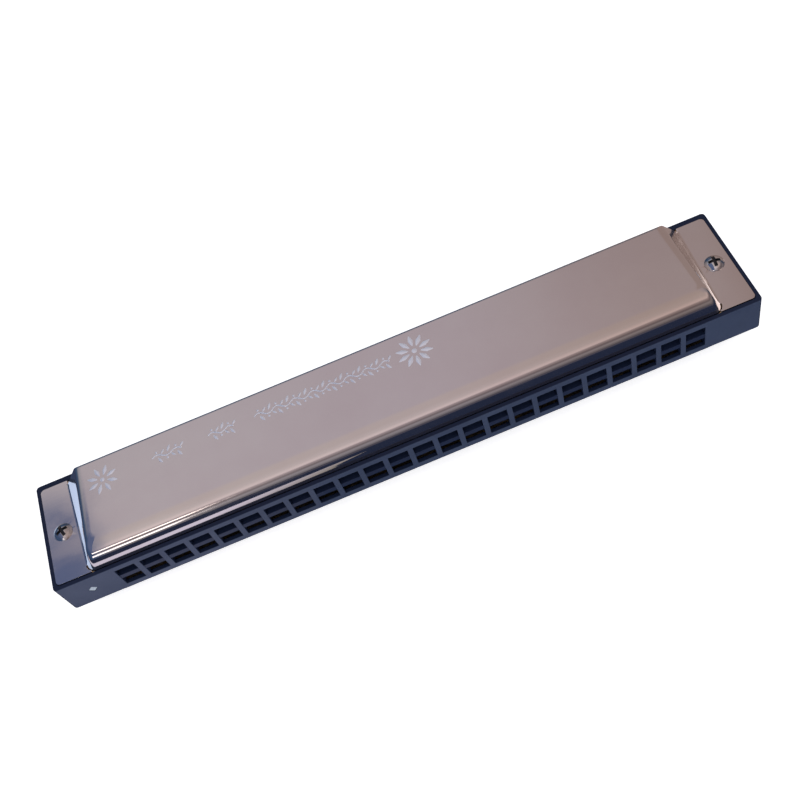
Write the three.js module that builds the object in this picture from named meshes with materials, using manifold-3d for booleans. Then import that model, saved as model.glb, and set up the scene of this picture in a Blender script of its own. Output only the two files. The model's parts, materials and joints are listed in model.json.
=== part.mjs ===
// A 24-column double-row tremolo harmonica: a moulded comb with 48 air cells, two brass reed plates with
// 24 reeds each, two stamped cover plates, and two screws with nuts that clamp the stack at its ends.
// Millimetres. X runs along the instrument with the bass at -X, -Y is the mouth side, Z is up. The origin is
// the middle of the footprint, on the surface that the lower cover rests on.
import * as THREE from "three";
import { mergeVertices } from "three/addons/utils/BufferGeometryUtils.js";
import Module from "manifold-3d";

const wasm = await Module();
wasm.setup();

// ---- Driving dimensions ----
const LENGTH = 180;
const DEPTH = 30;
const COMB_HEIGHT = 11;
const COVER_RISE = 6; // from the comb's rim to the flat of the cover
const CORNER_RADIUS = 1; // the comb's upright edges

// Each face of the comb has a recess that holds a reed plate and the cover's end tabs.
const END_RIM = 1;
const FRONT_RIM = 1.1;
const BACK_RIM = 1.5;
const RECESS_DEPTH = 1.3;
const SEAT_GAP = 0.02; // between pieces that are clamped together
const EDGE_GAP = 0.1; // between the rim and what lies in the recess

const COLUMNS = 24;
const COLUMN_PITCH = 6.34;
const CELL_WIDTH = 5;
const ROW_BOTTOM = 0.8; // from the comb's middle plane, so the rail between the rows is twice this
const ROW_TOP = 3.75;
const RAIL_SETBACK = 0.15; // how far the rail stands behind the dividers
const CELL_END_ROOM = 0.5; // behind the last reed pad

const PLATE_THICKNESS = 1;
const BASS_REED = 17; // free length of the longest tongue
const TREBLE_REED = 9.4;
const REED_WIDTH = 2.2;
const REED_TIP_WIDTH = 1.9;
const REED_THICKNESS = 0.3;
const PAD_LENGTH = 2.8; // the riveted root of a reed
const PAD_WIDTH = 2.8;
const PAD_THICKNESS = 0.4;
const PAD_CORNER = 0.5;
const REED_GAP = 0.1; // the reed's offset from its plate, which lets it swing
const SLOT_WIDTH = 2.7;
const SLOT_FRONT = -10; // the end of each slot that is nearer the mouth
const TIP_CLEARANCE = 0.3;

const SHEET = 0.5;
const TAB_END = LENGTH / 2 - END_RIM - EDGE_GAP;
const TAB_RADIUS = 1;
const SHOULDER_RADIUS = 5; // the rounded front of the cover, where the lips slide
const BACK_BEND_RADIUS = 1;
const END_BEND_RADIUS = 1.2;
const PLAN_RADIUS = 3; // the cover's front corners, seen from above
const COVER_BACK = 12.3;
const RAISED_BASE = 81.2; // half length of the raised part at the tab
const RAISED_TOP = 77.4; // and at its flat
const HEM_DROP = 1.4; // the turned-down edge above the sound gap

const SCREW_X = 85;
const SCREW_Y = -0.5;
const SHANK_RADIUS = 1;
const SCREW_HOLE_RADIUS = 1.25;
const HEAD_RADIUS = 2.4;
const HEAD_HEIGHT = 1.3;
const CROSS_LENGTH = 2.6;
const CROSS_WIDTH = 0.6;
const CROSS_DEPTH = 0.6;
const NUT_RADIUS = 2.3; // across corners
const NUT_HEIGHT = 1.6;
const NUT_CLEARANCE = 0.1;

const MARK_X = -82.5; // the small sunk lozenge beside the lowest hole
const MARK_SIZE = 1.5;
const MARK_DEPTH = 0.25;

// ---- Levels, up from the comb's middle plane ----
const RIM_LEVEL = COMB_HEIGHT / 2;
const FLOOR_LEVEL = RIM_LEVEL - RECESS_DEPTH;
const PLATE_BOTTOM = FLOOR_LEVEL + SEAT_GAP;
const PLATE_TOP = PLATE_BOTTOM + PLATE_THICKNESS;
const TAB_BOTTOM = PLATE_TOP + SEAT_GAP;
const TAB_TOP = TAB_BOTTOM + SHEET;
const COVER_TOP = RIM_LEVEL + COVER_RISE;

const FRONT = -DEPTH / 2;
const RECESS_FRONT = FRONT + FRONT_RIM;
const RECESS_BACK = DEPTH / 2 - BACK_RIM;
const PLATE_FRONT = RECESS_FRONT + EDGE_GAP;
const PLATE_BACK = RECESS_BACK - EDGE_GAP;

const MOULDED = { color: 0x1c2335, roughness: 0.45, metalness: 0 };
const BRASS = { color: 0xb08d4a, roughness: 0.35, metalness: 1 };
const NICKEL = { color: 0xb5adb3, roughness: 0.15, metalness: 1 };
const STEEL = { color: 0xc2bdb8, roughness: 0.25, metalness: 1 };

// ---- Solids and meshes ----
function toSolid(geometry) {
  geometry.deleteAttribute("normal");
  geometry.deleteAttribute("uv");
  const merged = mergeVertices(geometry, 1e-4);
  return new wasm.Manifold(
    new wasm.Mesh({
      numProp: 3,
      vertProperties: merged.attributes.position.array,
      triVerts: new Uint32Array(merged.index.array),
    }),
  );
}

function toMesh(name, solid, finish) {
  const { vertProperties, triVerts } = solid.getMesh();
  const geometry = new THREE.BufferGeometry();
  geometry.setAttribute("position", new THREE.BufferAttribute(vertProperties, 3));
  geometry.setIndex(new THREE.BufferAttribute(triVerts, 1));
  geometry.computeVertexNormals();
  const mesh = new THREE.Mesh(geometry, new THREE.MeshStandardMaterial(finish));
  mesh.name = name;
  return mesh;
}

function extrude(shape, depth, segments) {
  return new THREE.ExtrudeGeometry(shape, { depth, bevelEnabled: false, curveSegments: segments });
}

// An outline drawn in (x, y), carried from z0 up to z1.
function prismAlongZ(shape, z0, z1, segments = 4) {
  return toSolid(extrude(shape, z1 - z0, segments).translate(0, 0, z0));
}

// An outline drawn in (y, z), carried from x0 to x1.
function prismAlongX(shape, x0, x1, segments = 8) {
  const turn = new THREE.Matrix4().makeBasis(
    new THREE.Vector3(0, 1, 0),
    new THREE.Vector3(0, 0, 1),
    new THREE.Vector3(1, 0, 0),
  );
  return toSolid(extrude(shape, x1 - x0, segments).applyMatrix4(turn).translate(x0, 0, 0));
}

// An outline drawn in (x, z), carried from y0 to y1.
function prismAlongY(shape, y0, y1, segments = 4) {
  const geometry = extrude(shape, y1 - y0, segments).rotateX(Math.PI / 2);
  return toSolid(geometry.translate(0, y1, 0));
}

function block(x0, x1, y0, y1, z0, z1) {
  const geometry = new THREE.BoxGeometry(x1 - x0, y1 - y0, z1 - z0);
  return toSolid(geometry.translate((x0 + x1) / 2, (y0 + y1) / 2, (z0 + z1) / 2));
}

function post(radius, x, y, z0, z1, sides) {
  const geometry = new THREE.CylinderGeometry(radius, radius, z1 - z0, sides).rotateX(Math.PI / 2);
  return toSolid(geometry.translate(x, y, (z0 + z1) / 2));
}

function roundedRectangle(x0, x1, y0, y1, radius) {
  const shape = new THREE.Shape();
  shape.absarc(x1 - radius, y1 - radius, radius, 0, Math.PI / 2);
  shape.absarc(x0 + radius, y1 - radius, radius, Math.PI / 2, Math.PI);
  shape.absarc(x0 + radius, y0 + radius, radius, Math.PI, Math.PI * 1.5);
  shape.absarc(x1 - radius, y0 + radius, radius, Math.PI * 1.5, Math.PI * 2);
  return shape;
}

function polygon(points) {
  return new THREE.Shape(points.map(([u, v]) => new THREE.Vector2(u, v)));
}

function joined(solids) {
  return solids.reduce((sum, solid) => sum.add(solid));
}

// ---- Reed layout ----
// Columns count from the bass. Odd ones sound on the blow, with the reed on the cell side of its plate,
// and even ones on the draw, with the reed on the cover side. Neighbours are riveted at opposite ends.
function reedLayout(column) {
  const x = (column - (COLUMNS + 1) / 2) * COLUMN_PITCH;
  const share = (column - 1) / (COLUMNS - 1);
  const length = BASS_REED + (TREBLE_REED - BASS_REED) * share;
  const blow = column % 2 === 1;
  const slotBack = SLOT_FRONT + length + TIP_CLEARANCE;
  const pivot = blow ? slotBack + PAD_LENGTH / 2 : SLOT_FRONT - PAD_LENGTH / 2;
  return { x, length, blow, slotBack, pivot };
}

const columns = Array.from({ length: COLUMNS }, (_, index) => reedLayout(index + 1));

// ---- Comb ----
// One air cell above the middle plane: a mouth through the front rim, and a chamber behind it that is open
// towards the reed plate.
function airCell({ x, slotBack }) {
  const chamberBack = slotBack + PAD_LENGTH + CELL_END_ROOM;
  const outline = polygon([
    [FRONT - 1, ROW_BOTTOM],
    [chamberBack, ROW_BOTTOM],
    [chamberBack, FLOOR_LEVEL + 1],
    [RECESS_FRONT, FLOOR_LEVEL + 1],
    [RECESS_FRONT, ROW_TOP],
    [FRONT - 1, ROW_TOP],
  ]);
  return prismAlongX(outline, x - CELL_WIDTH / 2, x + CELL_WIDTH / 2);
}

function comb() {
  const half = LENGTH / 2;
  const outline = roundedRectangle(-half, half, FRONT, DEPTH / 2, CORNER_RADIUS);
  const blank = prismAlongZ(outline, -RIM_LEVEL, RIM_LEVEL);
  const recessOutline = roundedRectangle(
    -half + END_RIM,
    half - END_RIM,
    RECESS_FRONT,
    RECESS_BACK,
    TAB_RADIUS,
  );
  const upperCuts = [prismAlongZ(recessOutline, FLOOR_LEVEL, RIM_LEVEL + 1), ...columns.map(airCell)];
  const cuts = joined(upperCuts);
  const setbacks = columns.map(({ x }) =>
    block(x - CELL_WIDTH / 2, x + CELL_WIDTH / 2, FRONT - 1, FRONT + RAIL_SETBACK, -ROW_TOP, ROW_TOP),
  );
  const screwHoles = [-SCREW_X, SCREW_X].map((x) =>
    post(SCREW_HOLE_RADIUS, x, SCREW_Y, -COMB_HEIGHT, COMB_HEIGHT, 16),
  );
  const lozenge = polygon([
    [MARK_X - MARK_SIZE, 0],
    [MARK_X, -MARK_SIZE],
    [MARK_X + MARK_SIZE, 0],
    [MARK_X, MARK_SIZE],
  ]);
  const mark = prismAlongY(lozenge, FRONT, FRONT + MARK_DEPTH);
  return blank
    .subtract(cuts)
    .subtract(cuts.mirror([0, 0, 1]))
    .subtract(joined(setbacks))
    .subtract(joined(screwHoles))
    .subtract(mark);
}

// ---- Reed plate, above the middle plane ----
function reedPlate() {
  const outline = roundedRectangle(-TAB_END, TAB_END, PLATE_FRONT, PLATE_BACK, TAB_RADIUS);
  const below = PLATE_BOTTOM - 1;
  const above = PLATE_TOP + 1;
  const slots = columns.map(({ x, slotBack }) =>
    block(x - SLOT_WIDTH / 2, x + SLOT_WIDTH / 2, SLOT_FRONT, slotBack, below, above),
  );
  const holes = [-SCREW_X, SCREW_X].map((x) => post(SCREW_HOLE_RADIUS, x, SCREW_Y, below, above, 16));
  return prismAlongZ(outline, PLATE_BOTTOM, PLATE_TOP).subtract(joined([...slots, ...holes]));
}

// ---- Reed, drawn about its rivet with the tongue along +Y and its plate below ----
function reed(length) {
  const pad = PAD_LENGTH / 2;
  const lap = PAD_CORNER; // how far the tongue runs into the pad
  const tongue = polygon([
    [-REED_WIDTH / 2, pad - lap],
    [REED_WIDTH / 2, pad - lap],
    [REED_TIP_WIDTH / 2, pad + length],
    [-REED_TIP_WIDTH / 2, pad + length],
  ]);
  const root = roundedRectangle(-PAD_WIDTH / 2, PAD_WIDTH / 2, -pad, pad, PAD_CORNER);
  return prismAlongZ(root, 0, PAD_THICKNESS, 1).add(prismAlongZ(tongue, 0, REED_THICKNESS));
}

// Sets a reed on its plate: a draw reed lies on the cover side, a blow reed hangs on the cell side.
function placeReed(mesh, { x, blow, pivot }) {
  const level = blow ? PLATE_BOTTOM - REED_GAP : PLATE_TOP + REED_GAP;
  mesh.position.set(x, pivot, level);
  mesh.rotation.x = blow ? Math.PI : 0;
  return mesh;
}

// ---- Cover plate, above the middle plane ----
// The raised part as a full block, drawn in from the outside of the sheet by inset.
function raisedBlock(inset, bottom) {
  const front = PLATE_FRONT + inset;
  const back = COVER_BACK - inset;
  const top = COVER_TOP - inset;
  const shoulder = SHOULDER_RADIUS - inset;
  const backBend = BACK_BEND_RADIUS - inset;
  const section = new THREE.Shape();
  section.moveTo(back, bottom);
  section.lineTo(back, top - backBend);
  section.absarc(back - backBend, top - backBend, backBend, 0, Math.PI / 2);
  section.absarc(front + shoulder, top - shoulder, shoulder, Math.PI / 2, Math.PI);
  section.lineTo(front, bottom);

  const lean = Math.atan2(RAISED_BASE - RAISED_TOP, COVER_TOP - TAB_TOP);
  const drawIn = inset / Math.cos(lean);
  const halfAt = (z) => RAISED_BASE - drawIn - (z - TAB_TOP) * Math.tan(lean);
  const bend = END_BEND_RADIUS - inset;
  const bendCentre = halfAt(top - bend) - bend / Math.cos(lean);
  const elevation = new THREE.Shape();
  elevation.moveTo(-halfAt(bottom), bottom);
  elevation.lineTo(halfAt(bottom), bottom);
  elevation.absarc(bendCentre, top - bend, bend, lean, Math.PI / 2);
  elevation.absarc(-bendCentre, top - bend, bend, Math.PI / 2, Math.PI - lean);

  const reach = halfAt(bottom);
  const plan = roundedRectangle(-reach, reach, front, COVER_BACK + 5, PLAN_RADIUS - inset);
  return prismAlongX(section, -LENGTH / 2, LENGTH / 2)
    .intersect(prismAlongY(elevation, FRONT - 1, DEPTH / 2 + 1))
    .intersect(prismAlongZ(plan, bottom - 1, COVER_TOP + 1));
}

function endTab(side) {
  const inner = side * (RAISED_BASE - 1);
  const outer = side * TAB_END;
  const [x0, x1] = [Math.min(inner, outer), Math.max(inner, outer)];
  const outline = roundedRectangle(x0, x1, PLATE_FRONT, PLATE_BACK, TAB_RADIUS);
  const hole = post(SCREW_HOLE_RADIUS, side * SCREW_X, SCREW_Y, TAB_BOTTOM - 1, TAB_TOP + 1, 16);
  return prismAlongZ(outline, TAB_BOTTOM, TAB_TOP).subtract(hole);
}

function coverPlate() {
  const hollow = raisedBlock(SHEET, TAB_BOTTOM - 1);
  const hemBottom = COVER_TOP - HEM_DROP;
  const gapHalf = RAISED_TOP - END_BEND_RADIUS;
  const soundGap = block(-gapHalf, gapHalf, COVER_BACK - 2, COVER_BACK + 1, TAB_BOTTOM - 1, hemBottom);
  return raisedBlock(0, TAB_BOTTOM)
    .add(endTab(-1))
    .add(endTab(1))
    .subtract(hollow)
    .subtract(soundGap);
}

// ---- Screw and nut, about the screw's own axis ----
function screw() {
  const headSeat = TAB_TOP + SEAT_GAP;
  const tip = -headSeat - NUT_HEIGHT;
  const domeCentre = headSeat + HEAD_HEIGHT - (HEAD_RADIUS ** 2 + HEAD_HEIGHT ** 2) / (2 * HEAD_HEIGHT);
  const domeRadius = headSeat + HEAD_HEIGHT - domeCentre;
  const profile = [new THREE.Vector2(0, tip), new THREE.Vector2(SHANK_RADIUS, tip)];
  profile.push(new THREE.Vector2(SHANK_RADIUS, headSeat), new THREE.Vector2(HEAD_RADIUS, headSeat));
  const rise = Math.asin(HEAD_RADIUS / domeRadius);
  for (let step = 1; step <= 3; step++) {
    const angle = rise * (1 - step / 4);
    profile.push(new THREE.Vector2(domeRadius * Math.sin(angle), domeCentre + domeRadius * Math.cos(angle)));
  }
  profile.push(new THREE.Vector2(0, headSeat + HEAD_HEIGHT));
  const turned = toSolid(new THREE.LatheGeometry(profile, 16).rotateX(Math.PI / 2));
  const arm = CROSS_LENGTH / 2;
  const slit = CROSS_WIDTH / 2;
  const crossBottom = headSeat + HEAD_HEIGHT - CROSS_DEPTH;
  const crossTop = headSeat + HEAD_HEIGHT + 1;
  return turned
    .subtract(block(-arm, arm, -slit, slit, crossBottom, crossTop))
    .subtract(block(-slit, slit, -arm, arm, crossBottom, crossTop));
}

function nut() {
  const top = -TAB_TOP - SEAT_GAP;
  const body = post(NUT_RADIUS, 0, 0, top - NUT_HEIGHT, top, 6);
  return body.subtract(post(SHANK_RADIUS + NUT_CLEARANCE, 0, 0, top - NUT_HEIGHT - 1, top + 1, 16));
}

// ---- Assembly ----
// Everything above the middle plane. The lower half is its mirror image.
function half(level) {
  const group = new THREE.Group();
  group.add(toMesh(`${level}_reed_plate`, reedPlate(), BRASS));
  columns.forEach((layout, index) => {
    const number = String(index + 1).padStart(2, "0");
    group.add(placeReed(toMesh(`${level}_reed_${number}`, reed(layout.length), BRASS), layout));
  });
  group.add(toMesh(`${level}_cover`, coverPlate(), NICKEL));
  return group;
}

const harmonica = new THREE.Group();
harmonica.position.z = COVER_TOP;
harmonica.add(toMesh("comb", comb(), MOULDED));

const upperHalf = half("upper");
const lowerHalf = half("lower");
lowerHalf.scale.z = -1;
harmonica.add(upperHalf, lowerHalf);

for (const [side, x] of [["bass", -SCREW_X], ["treble", SCREW_X]]) {
  const fastening = new THREE.Group();
  fastening.position.set(x, SCREW_Y, 0);
  fastening.add(toMesh(`${side}_end_screw`, screw(), STEEL), toMesh(`${side}_end_nut`, nut(), STEEL));
  harmonica.add(fastening);
}

export default harmonica;
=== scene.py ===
"""A double-row tremolo harmonica, 24 columns of air holes long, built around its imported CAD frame."""

import json
import math

import bmesh
import bpy
from mathutils import Matrix, Vector


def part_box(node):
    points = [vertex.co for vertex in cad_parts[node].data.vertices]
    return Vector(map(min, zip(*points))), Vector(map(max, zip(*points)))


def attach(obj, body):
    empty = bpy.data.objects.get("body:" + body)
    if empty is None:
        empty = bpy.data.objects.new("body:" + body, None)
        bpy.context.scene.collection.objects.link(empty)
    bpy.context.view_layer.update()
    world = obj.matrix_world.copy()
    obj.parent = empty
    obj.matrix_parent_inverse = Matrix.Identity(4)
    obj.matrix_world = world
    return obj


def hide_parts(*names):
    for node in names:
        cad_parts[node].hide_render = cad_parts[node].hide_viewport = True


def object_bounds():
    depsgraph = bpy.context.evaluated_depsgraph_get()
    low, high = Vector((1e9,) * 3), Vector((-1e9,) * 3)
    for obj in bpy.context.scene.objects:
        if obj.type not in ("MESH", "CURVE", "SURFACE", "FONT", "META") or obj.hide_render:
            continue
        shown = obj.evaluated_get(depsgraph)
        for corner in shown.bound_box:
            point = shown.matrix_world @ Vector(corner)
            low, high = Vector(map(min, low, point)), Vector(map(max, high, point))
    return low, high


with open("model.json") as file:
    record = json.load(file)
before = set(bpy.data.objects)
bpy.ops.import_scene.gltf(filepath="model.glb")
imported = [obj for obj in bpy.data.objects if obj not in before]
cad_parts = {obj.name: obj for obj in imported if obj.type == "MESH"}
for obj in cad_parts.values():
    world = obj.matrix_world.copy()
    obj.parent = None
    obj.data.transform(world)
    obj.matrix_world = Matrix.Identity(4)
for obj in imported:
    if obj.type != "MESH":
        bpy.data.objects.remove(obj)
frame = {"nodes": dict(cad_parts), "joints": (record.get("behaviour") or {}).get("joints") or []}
cad_low, cad_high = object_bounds()
scene = bpy.context.scene

MM = 0.001
MERGE_DISTANCE = 0.002 * MM

# ---- Sizes, in metres ----
# Comb
CORNER_RADIUS = 1.0 * MM
END_RIM = 1.0 * MM
FRONT_RIM = 1.1 * MM
BACK_RIM = 1.5 * MM
RECESS_DEPTH = 1.3 * MM
COLUMNS = 24
COLUMN_PITCH = 6.34 * MM
CELL_WIDTH = 5.0 * MM
ROW_BOTTOM = 0.8 * MM
ROW_TOP = 3.75 * MM
RAIL_SETBACK = 0.15 * MM
BASS_CHAMBER_BACK = 10.6 * MM
TREBLE_CHAMBER_BACK = 3.0 * MM
SCREW_HOLE_RADIUS = 1.25 * MM
MARK_X = -82.5 * MM
MARK_SIZE = 1.2 * MM
MARK_DEPTH = 0.25 * MM
EDGE_SOFTNESS = 0.14 * MM
CUTTER_OVERSHOOT = 1.0 * MM
DRILL_LENGTH = 30.0 * MM
PAINT_MARGIN = 0.12 * MM
PAINT_SUNK = 0.06 * MM
PAINT_ROUNDING = 0.05 * MM
PAINT_KEY = 0.02 * MM

# Covers
SHEET = 0.5 * MM
SHOULDER_RADIUS = 4.8 * MM
FRONT_LEAN = math.radians(7)
BACK_BEND_RADIUS = 1.0 * MM
END_BEND_RADIUS = 3.0 * MM
FLARE_RADIUS = 0.6 * MM
RAISED_BASE = 81.7 * MM
RAISED_TOP = 77.0 * MM
BASE_CORNER = 2.0 * MM
TOP_CORNER = 1.4 * MM
TAB_RADIUS = 1.0 * MM
FOOT_TAPER = 1.2 * MM
TOP_WIDENING = 1.4 * MM
TAB_GAP = 0.04 * MM
TAB_NICK = 0.1 * MM
TAB_INSET = 0.4 * MM
INNER_CORNER = 0.3 * MM
TAB_CORNER_ANGLES = (2, 14, 26, 38, 50, 62)
HEM_DROP = 1.4 * MM
LEAST_BEND = 0.03 * MM
RAISED_BACK = 12.3 * MM
COVER_HOLE_RADIUS = 1.25 * MM
GUARD = 0.5 * MM
FLARE_MARGIN = 0.15 * MM
CUT_EDGE_SOFTNESS = 0.17 * MM

# Screws and nuts
SHANK_RADIUS = 1.0 * MM
HEAD_RADIUS = 2.4 * MM
CROSS_LENGTH = 3.0 * MM
CROSS_WIDTH = 0.8 * MM
CROSS_DEPTH = 0.8 * MM
CROSS_CUTTER_HEIGHT = 2.0 * MM
HEAD_GAP = 0.02 * MM
TIP_BEVEL = 0.25 * MM
RIM_INSET = 0.12 * MM
RIM_HEIGHT = 0.08 * MM
DOME_SHARE = 0.985
DOME_STEPS = 10
SCREW_TURN = math.radians(20)
TURN_STEP = 1.1
RECESS_SOFTNESS = 0.05 * MM
RECESS_LIP = 0.16 * MM
RECESS_MARGIN = 0.02 * MM
DEEP_IN_RECESS = 0.25 * MM
UPRIGHT = 0.3
NUT_RADIUS = 2.3 * MM
NUT_CLEARANCE = 0.1 * MM
NUT_BEVEL = 0.22 * MM
BORE_BEVEL = 0.15 * MM
BORE_BEVEL_WIDTH = 0.2 * MM
NUT_STEPS = 48
NUT_TURN = math.radians(8)
CLEAR_OF_NUT = 10.0 * MM

# Rivets, nails and ornament
RIVET_RADIUS = 0.62 * MM
RIVET_LENGTH = 2.0 * MM
RIVET_DOME = 0.16 * MM
NAIL_RADIUS = 0.45 * MM
NAIL_LENGTH = 1.0 * MM
NAIL_DOME = 0.15 * MM
NAIL_INSET = 0.62 * MM
NAIL_END_INSET = 12.0 * MM
NAIL_SUNK = 0.3 * MM
NAILS_PER_PLATE = 8
BAND_Y = 5.4 * MM

# ---- Places, from the frame ----
comb_low, comb_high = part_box("comb")
cover_low, cover_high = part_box("upper_cover")
plate_low, plate_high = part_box("upper_reed_plate")
screw_low, screw_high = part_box("treble_end_screw")
nut_low, nut_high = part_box("treble_end_nut")
MIDDLE = (comb_low.z + comb_high.z) / 2
FRONT = comb_low.y
HALF_LENGTH = comb_high.x
RECESS_FRONT = FRONT + FRONT_RIM
RECESS_BACK = comb_high.y - BACK_RIM
FLOOR_RISE = comb_high.z - MIDDLE - RECESS_DEPTH
SCREW_X = (screw_low.x + screw_high.x) / 2
SCREW_Y = (screw_low.y + screw_high.y) / 2
BODY = "harmonica"


# ---- Camera ----
CAMERA_ABOVE_RIM = Vector((2.3, -149.5, 222.6)) * MM
CAMERA_ELEVATION = math.radians(56.5)
CAMERA_ROLL = math.radians(22.45)
CAMERA_LENS = 49.91
CAMERA_SENSOR = 36.0


def place_camera():
    """Looks down on the front of the instrument, turned so that its length climbs to the right."""
    camera = bpy.data.objects.new("camera", bpy.data.cameras.new("camera"))
    camera.data.lens = CAMERA_LENS
    camera.data.sensor_width = CAMERA_SENSOR
    camera.data.clip_start = 0.01
    camera.data.clip_end = 20.0
    tilt = Matrix.Rotation(math.radians(90) - CAMERA_ELEVATION, 4, "X")
    turn = Matrix.Rotation(-CAMERA_ROLL, 4, "Z")
    camera.matrix_world = Matrix.Translation(CAMERA_ABOVE_RIM + Vector((0, 0, comb_high.z))) @ tilt @ turn
    scene.collection.objects.link(camera)
    scene.camera = camera


# ---- Node helpers ----
def feed(tree, node, inputs):
    """Links or fills the inputs of a node."""
    for key, value in inputs.items():
        if isinstance(value, bpy.types.NodeSocket):
            tree.links.new(value, node.inputs[key])
        else:
            node.inputs[key].default_value = value


def add_node(tree, kind, inputs=None, **settings):
    """Adds a node, sets its options, then feeds its inputs."""
    node = tree.nodes.new(kind)
    for option, value in settings.items():
        setattr(node, option, value)
    feed(tree, node, inputs or {})
    return node


def output_of(tree, kind, inputs=None, **settings):
    """The first output of a new node."""
    return add_node(tree, kind, inputs, **settings).outputs[0]


def calculate(tree, operation, first, second=0.0, third=0.0):
    """One step of arithmetic on numbers or sockets."""
    return output_of(tree, "ShaderNodeMath", {0: first, 1: second, 2: third}, operation=operation)


def vector_of(tree, x, y, z):
    return output_of(tree, "ShaderNodeCombineXYZ", {0: x, 1: y, 2: z})


def parts_of(tree, vector):
    """The X, Y and Z of a vector."""
    return add_node(tree, "ShaderNodeSeparateXYZ", {0: vector}).outputs


def map_range(tree, value, start, end, low=0.0, high=1.0, steps="LINEAR"):
    """Turns a value between start and end into one between low and high."""
    inputs = {"Value": value, "From Min": start, "From Max": end, "To Min": low, "To Max": high}
    return output_of(tree, "ShaderNodeMapRange", inputs, interpolation_type=steps)


def noise(tree, place, scale, detail, roughness=0.5, distortion=0.0):
    """Soft random patches, smaller with a larger scale."""
    inputs = {"Vector": place, "Scale": scale, "Detail": detail}
    inputs.update({"Roughness": roughness, "Distortion": distortion})
    return output_of(tree, "ShaderNodeTexNoise", inputs)


def mix_colours(tree, factor, first, second):
    """A colour between two, by a factor from 0 to 1."""
    return add_node(tree, "ShaderNodeMix", {0: factor, 6: first, 7: second}, data_type="RGBA").outputs[2]


SOCKET_KINDS = {
    "number": "NodeSocketFloat",
    "count": "NodeSocketInt",
    "vector": "NodeSocketVector",
    "colour": "NodeSocketColor",
    "geometry": "NodeSocketGeometry",
    "material": "NodeSocketMaterial",
}


def new_group(name, kind, inputs, outputs):
    """A node group with its named inputs and outputs, as {label: (kind, value)}."""
    group = bpy.data.node_groups.new(name, kind)
    for direction, sockets in (("INPUT", inputs), ("OUTPUT", outputs)):
        for label, (socket_kind, value) in sockets.items():
            kind_name = SOCKET_KINDS[socket_kind]
            socket = group.interface.new_socket(label, in_out=direction, socket_type=kind_name)
            if value is not None:
                socket.default_value = value
    return group, group.nodes.new("NodeGroupInput").outputs


def end_tree(group, geometry, material):
    """Closes a Geometry Nodes tree: real faces, one material."""
    real = output_of(group, "GeometryNodeRealizeInstances", {"Geometry": geometry})
    finished = output_of(group, "GeometryNodeSetMaterial", {"Geometry": real, "Material": material})
    add_node(group, "NodeGroupOutput", {0: finished})


def moved_to(group, geometry, place, **more):
    return output_of(group, "GeometryNodeTransform", {"Geometry": geometry, "Translation": place, **more})


def cut_away(group, body, cutters):
    """Takes all the cutters out of a closed body."""
    settings = {"operation": "DIFFERENCE", "solver": "MANIFOLD"}
    cut = add_node(group, "GeometryNodeMeshBoolean", {"Mesh 1": body}, **settings)
    for cutter in cutters:
        group.links.new(cutter, cut.inputs["Mesh 2"])
    return cut.outputs[0]


def settle(piece):
    """Turns what the modifiers make of a piece into its plain mesh, and takes the modifiers off."""
    evaluated = piece.evaluated_get(bpy.context.evaluated_depsgraph_get())
    piece.data = bpy.data.meshes.new_from_object(evaluated)
    piece.modifiers.clear()


def link_piece(name, mesh):
    piece = bpy.data.objects.new(name, mesh)
    scene.collection.objects.link(piece)
    return piece


def grow(name, seed, group, values):
    """Runs a Geometry Nodes tree on a seed mesh with the given input values."""
    piece = link_piece(name, seed)
    modifier = piece.modifiers.new("tree", "NODES")
    modifier.node_group = group
    for item in group.interface.items_tree:
        if item.item_type == "SOCKET" and item.in_out == "INPUT" and item.name in values:
            modifier[item.identifier] = values[item.name]
    settle(piece)
    for index in reversed(range(len(piece.data.materials))):
        if piece.data.materials[index] is None:
            piece.data.materials.pop(index=index)
    return piece


def simplify(piece):
    """Merges doubled vertices and the flat edges that cutting leaves behind."""
    solid = bmesh.new()
    solid.from_mesh(piece.data)
    bmesh.ops.remove_doubles(solid, verts=solid.verts, dist=MERGE_DISTANCE)
    bmesh.ops.dissolve_limit(solid, angle_limit=math.radians(0.5), verts=solid.verts, edges=solid.edges)
    bmesh.ops.dissolve_degenerate(solid, dist=MERGE_DISTANCE, edges=solid.edges)
    solid.to_mesh(piece.data)
    solid.free()


def soften(piece, width, segments=2, angle=40.0):
    """Rounds the sharp edges of a piece by a small radius."""
    bevel = piece.modifiers.new("edges", "BEVEL")
    bevel.width = width
    bevel.segments = segments
    bevel.limit_method = "ANGLE"
    bevel.angle_limit = math.radians(angle)
    bevel.use_clamp_overlap = True
    bevel.miter_outer = "MITER_ARC"
    settle(piece)


def shade(piece, angle=32.0):
    """Smooth shading led by the broad faces, with a break at edges sharper than the angle."""
    piece.data.shade_smooth()
    piece.data.set_sharp_from_angle(angle=math.radians(angle))
    weighting = piece.modifiers.new("normals", "WEIGHTED_NORMAL")
    weighting.keep_sharp = True
    weighting.weight = 80
    settle(piece)


def keep(piece, slot, *stands_for):
    """Hands a finished piece to the frame: it rides on the instrument, and the CAD parts it stands for are
    hidden. The slot is not used.
    """
    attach(piece, BODY)
    if stands_for:
        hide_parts(*stands_for)


# ---- Mesh helpers ----
def mesh_from(name, solid):
    mesh = bpy.data.meshes.new(name)
    solid.to_mesh(mesh)
    solid.free()
    return mesh


def row_at(solid, points, z):
    """A row of vertices at one level."""
    return [solid.verts.new((x, y, z)) for x, y in points]


def strip(solid, first, second):
    """Joins two rows of vertices with four-sided faces."""
    for index in range(len(first) - 1):
        solid.faces.new((first[index], first[index + 1], second[index + 1], second[index]))


def ring(solid, first, second):
    strip(solid, [*first, first[0]], [*second, second[0]])


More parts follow.
